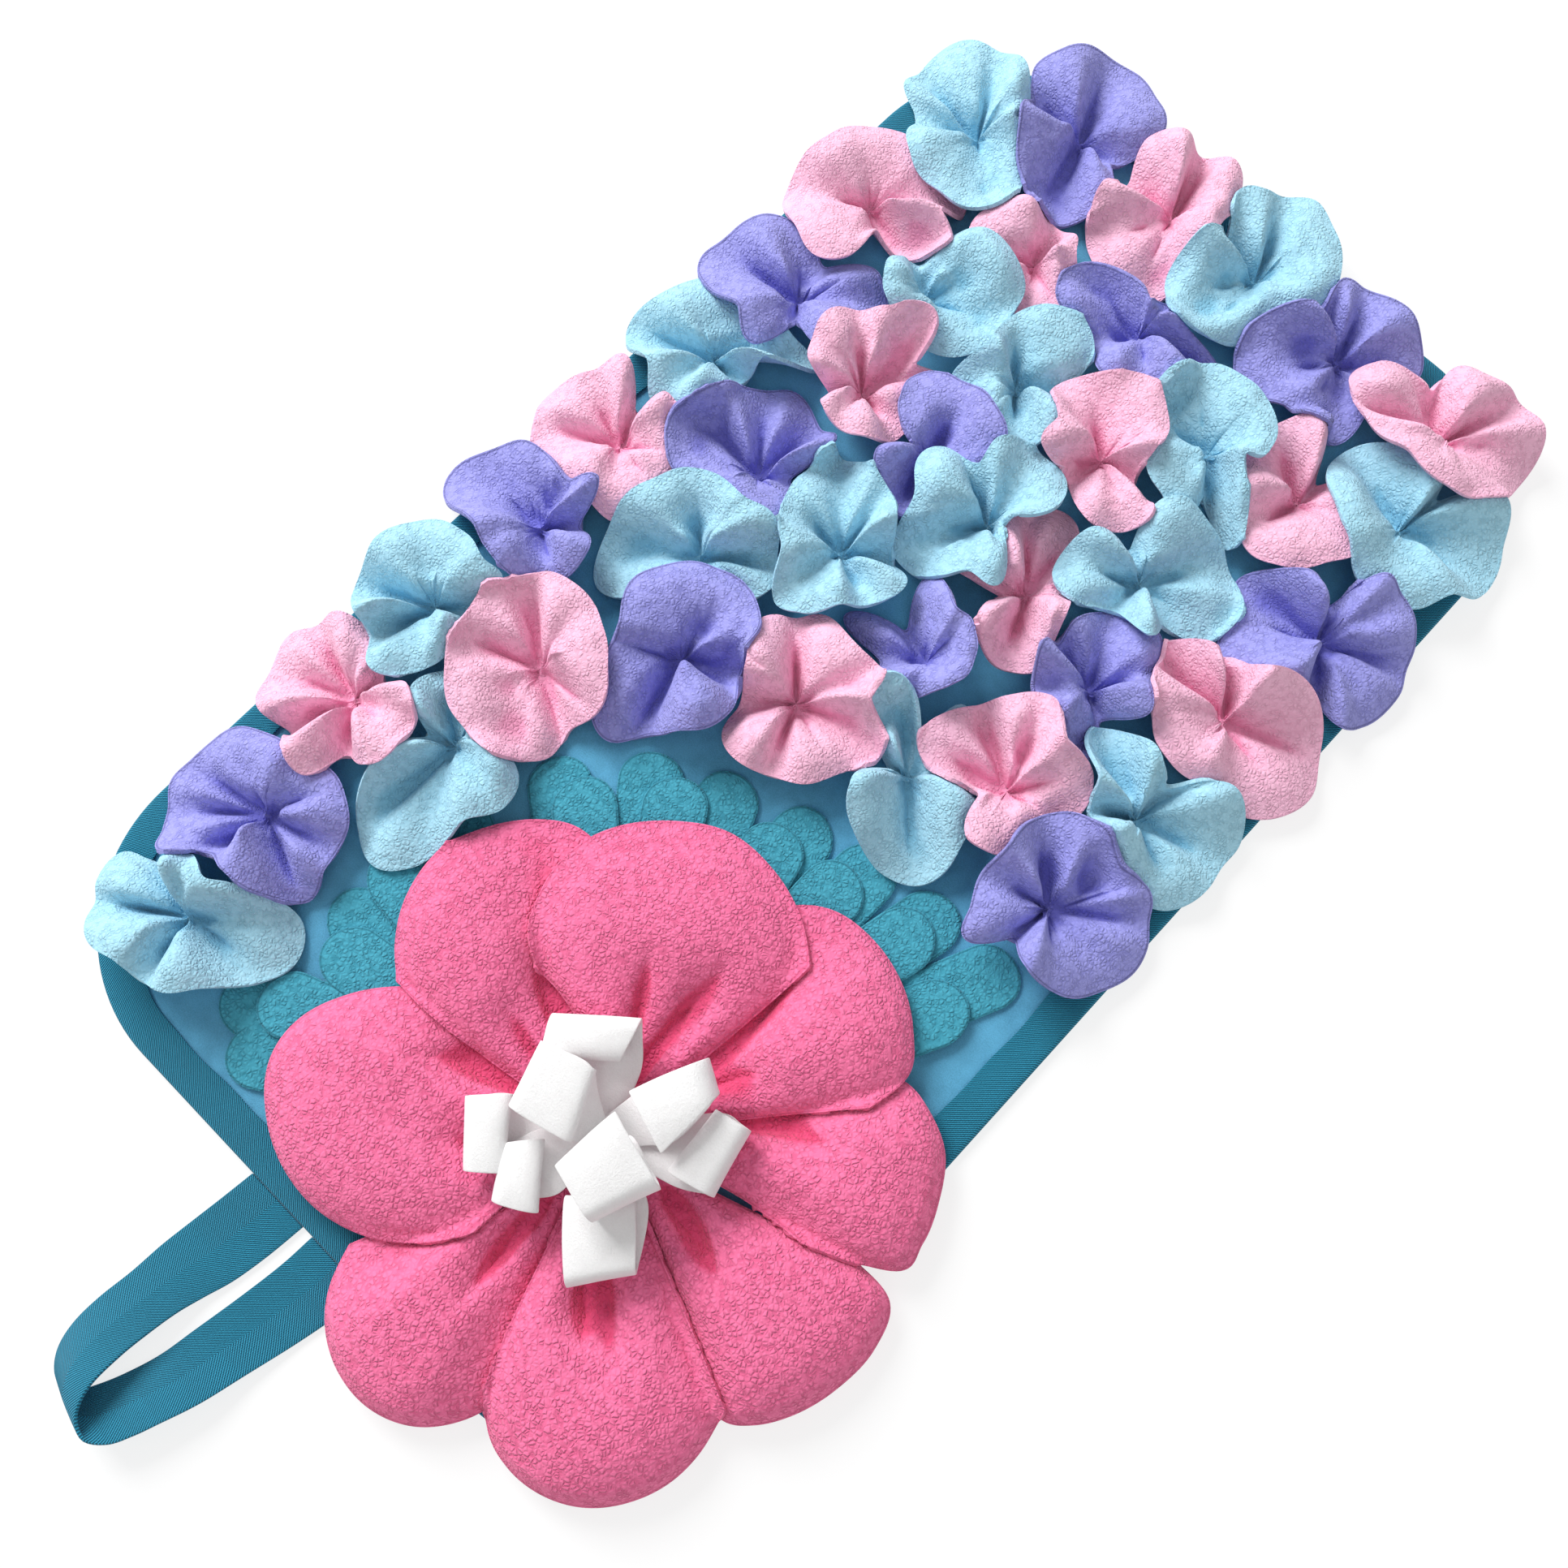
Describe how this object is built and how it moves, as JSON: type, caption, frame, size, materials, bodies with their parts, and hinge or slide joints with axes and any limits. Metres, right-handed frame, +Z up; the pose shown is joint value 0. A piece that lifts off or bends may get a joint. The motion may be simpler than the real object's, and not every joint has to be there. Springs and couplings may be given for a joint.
{
  "type": "snuffle mat",
  "caption": "Flat rounded felt mat bound in tape, covered with gathered fleece flowers, a large petalled flower with curled strips, and a carrying strap.",
  "frame": {"origin": "middle of the mat's flat underside, which rests on the floor", "axes": "+Z up from the underside, +Y along the mat's long side away from the large flower and the strap, +X along its short side"},
  "size_m": [0.4185, 0.7966, 0.055],
  "materials": {
    "felt_blue": "smooth brushed felt",
    "tape_teal": "matte twill tape",
    "fleece_teal": "matte brushed fleece",
    "fleece_hot_pink": "pebbled matte fleece",
    "fleece_white": "matte brushed fleece",
    "fleece_light_pink": "pebbled matte fleece",
    "fleece_light_blue": "pebbled matte fleece",
    "fleece_violet": "pebbled matte fleece"
  },
  "bodies": {
    "root": {"base_felt": "felt_blue", "edge_binding": "tape_teal", "strap": "tape_teal", "tongues_long": "fleece_teal", "tongues_short": "fleece_teal", "petal_1": "fleece_hot_pink", "petal_2": "fleece_hot_pink", "petal_3": "fleece_hot_pink", "petal_4": "fleece_hot_pink", "petal_5": "fleece_hot_pink", "petal_6": "fleece_hot_pink", "petal_7": "fleece_hot_pink", "petal_8": "fleece_hot_pink", "curl_strip_1": "fleece_white", "curl_strip_2": "fleece_white", "curl_strip_3": "fleece_white", "curl_strip_4": "fleece_white", "flower_01": "fleece_light_blue", "flower_02": "fleece_violet", "flower_03": "fleece_light_pink", "flower_04": "fleece_light_pink", "flower_05": "fleece_light_blue", "flower_06": "fleece_light_pink", "flower_07": "fleece_violet", "flower_08": "fleece_light_blue", "flower_09": "fleece_violet", "flower_10": "fleece_violet", "flower_11": "fleece_light_blue", "flower_12": "fleece_light_pink", "flower_13": "fleece_light_blue", "flower_14": "fleece_light_blue", "flower_15": "fleece_light_pink", "flower_16": "fleece_light_pink", "flower_17": "fleece_violet", "flower_18": "fleece_light_pink", "flower_19": "fleece_violet", "flower_20": "fleece_light_pink", "flower_21": "fleece_light_blue", "flower_22": "fleece_light_blue", "flower_23": "fleece_light_blue", "flower_24": "fleece_violet", "flower_25": "fleece_light_blue", "flower_26": "fleece_light_pink", "flower_27": "fleece_light_blue", "flower_28": "fleece_violet", "flower_29": "fleece_light_blue", "flower_30": "fleece_violet", "flower_31": "fleece_violet", "flower_32": "fleece_light_pink", "flower_33": "fleece_violet", "flower_34": "fleece_light_pink", "flower_35": "fleece_light_pink", "flower_36": "fleece_light_pink", "flower_37": "fleece_light_blue", "flower_38": "fleece_light_pink", "flower_39": "fleece_light_blue", "flower_40": "fleece_light_blue", "flower_41": "fleece_violet", "flower_42": "fleece_violet", "flower_43": "fleece_light_blue"}
  },
  "joints": []
}
